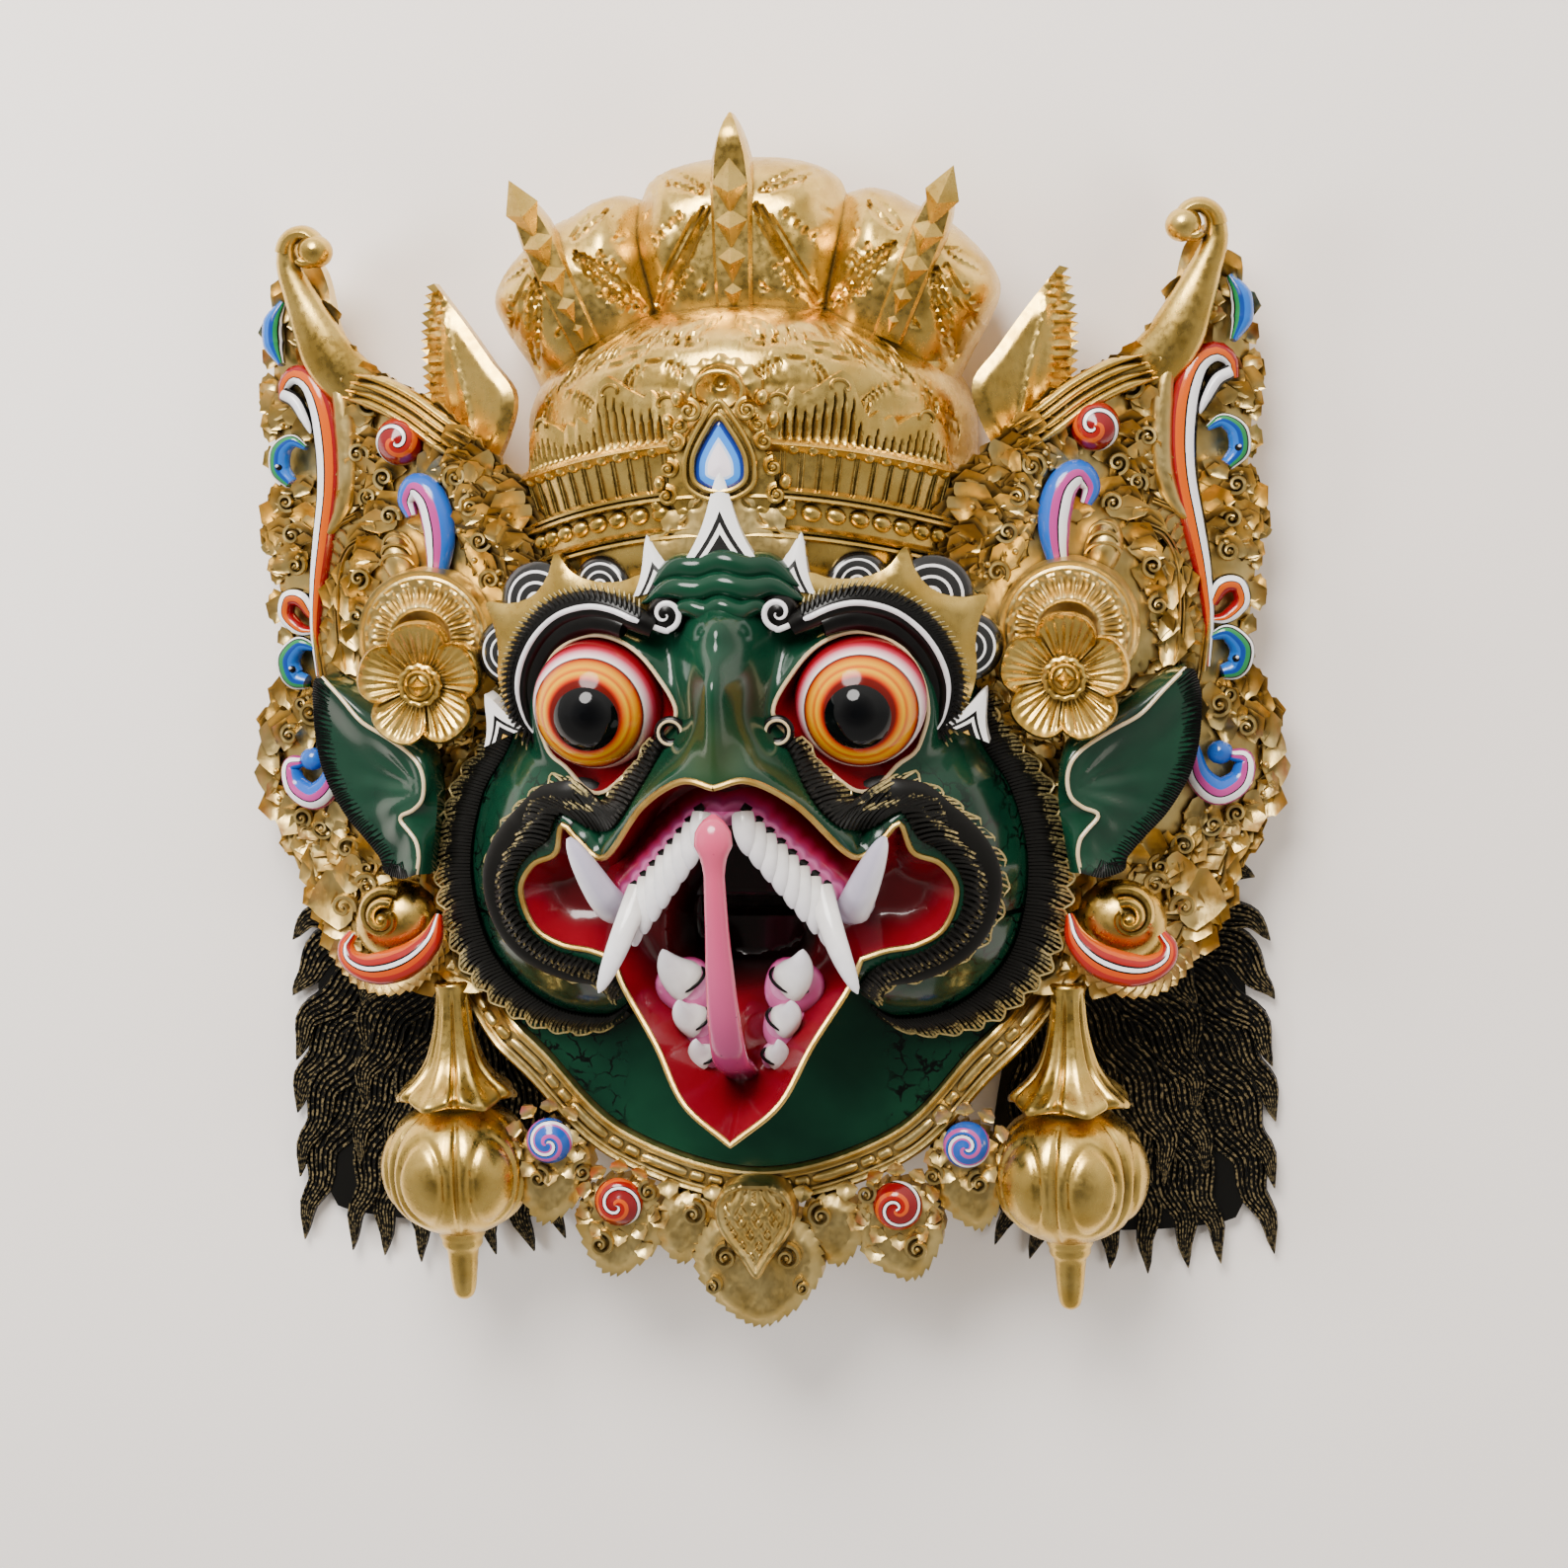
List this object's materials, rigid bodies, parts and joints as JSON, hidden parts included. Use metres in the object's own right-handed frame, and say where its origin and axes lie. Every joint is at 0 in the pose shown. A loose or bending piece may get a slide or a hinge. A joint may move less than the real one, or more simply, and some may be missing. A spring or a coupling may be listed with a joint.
{
  "type": "garuda mask",
  "caption": "Carved and painted wooden bird-demon mask with a gilded crown, leafy wings, bulging eyes, open fanged beak, long tongue, hanging pendants and black hair boards; it lies face up.",
  "frame": {"origin": "centre of the bounding box on the surface that the mask lies on", "axes": "+X to the viewer's right, +Y towards the crown, +Z out of the face, so the mask lies face up on its back rim"},
  "size_m": [0.4426, 0.5001, 0.1701],
  "materials": {
    "gold_leaf": "carved wood with burnished gold paint",
    "pale_gold_leaf": "carved wood with matt pale gold paint",
    "green_lacquer": "wood with glossy dark green paint",
    "ivory_paint": "glossy white painted wood",
    "pink_paint": "glossy pink painted wood",
    "black_paint": "black painted wood rubbed with old gold",
    "crimson_paint": "glossy crimson painted wood",
    "accent_paint": "glossy striped accent paint in blue, pink, orange and white"
  },
  "bodies": {
    "root": {"head": "green_lacquer", "crown_cap": "gold_leaf", "crown_crest": "gold_leaf", "blade_left": "gold_leaf", "blade_right": "gold_leaf", "wing_left": "pale_gold_leaf", "wing_right": "pale_gold_leaf", "ear_left": "green_lacquer", "ear_right": "green_lacquer", "flower_left": "gold_leaf", "flower_right": "gold_leaf", "pendant_left": "gold_leaf", "pendant_right": "gold_leaf", "hair_left": "black_paint", "hair_right": "black_paint", "collar": "pale_gold_leaf", "tongue": "pink_paint", "tusk_left": "ivory_paint", "tusk_right": "ivory_paint", "upper_teeth_left": "ivory_paint", "upper_teeth_right": "ivory_paint", "lower_tooth_left_1": "ivory_paint", "lower_tooth_left_2": "ivory_paint", "lower_tooth_left_3": "ivory_paint", "lower_tooth_right_1": "ivory_paint", "lower_tooth_right_2": "ivory_paint", "lower_tooth_right_3": "ivory_paint"}
  },
  "joints": []
}
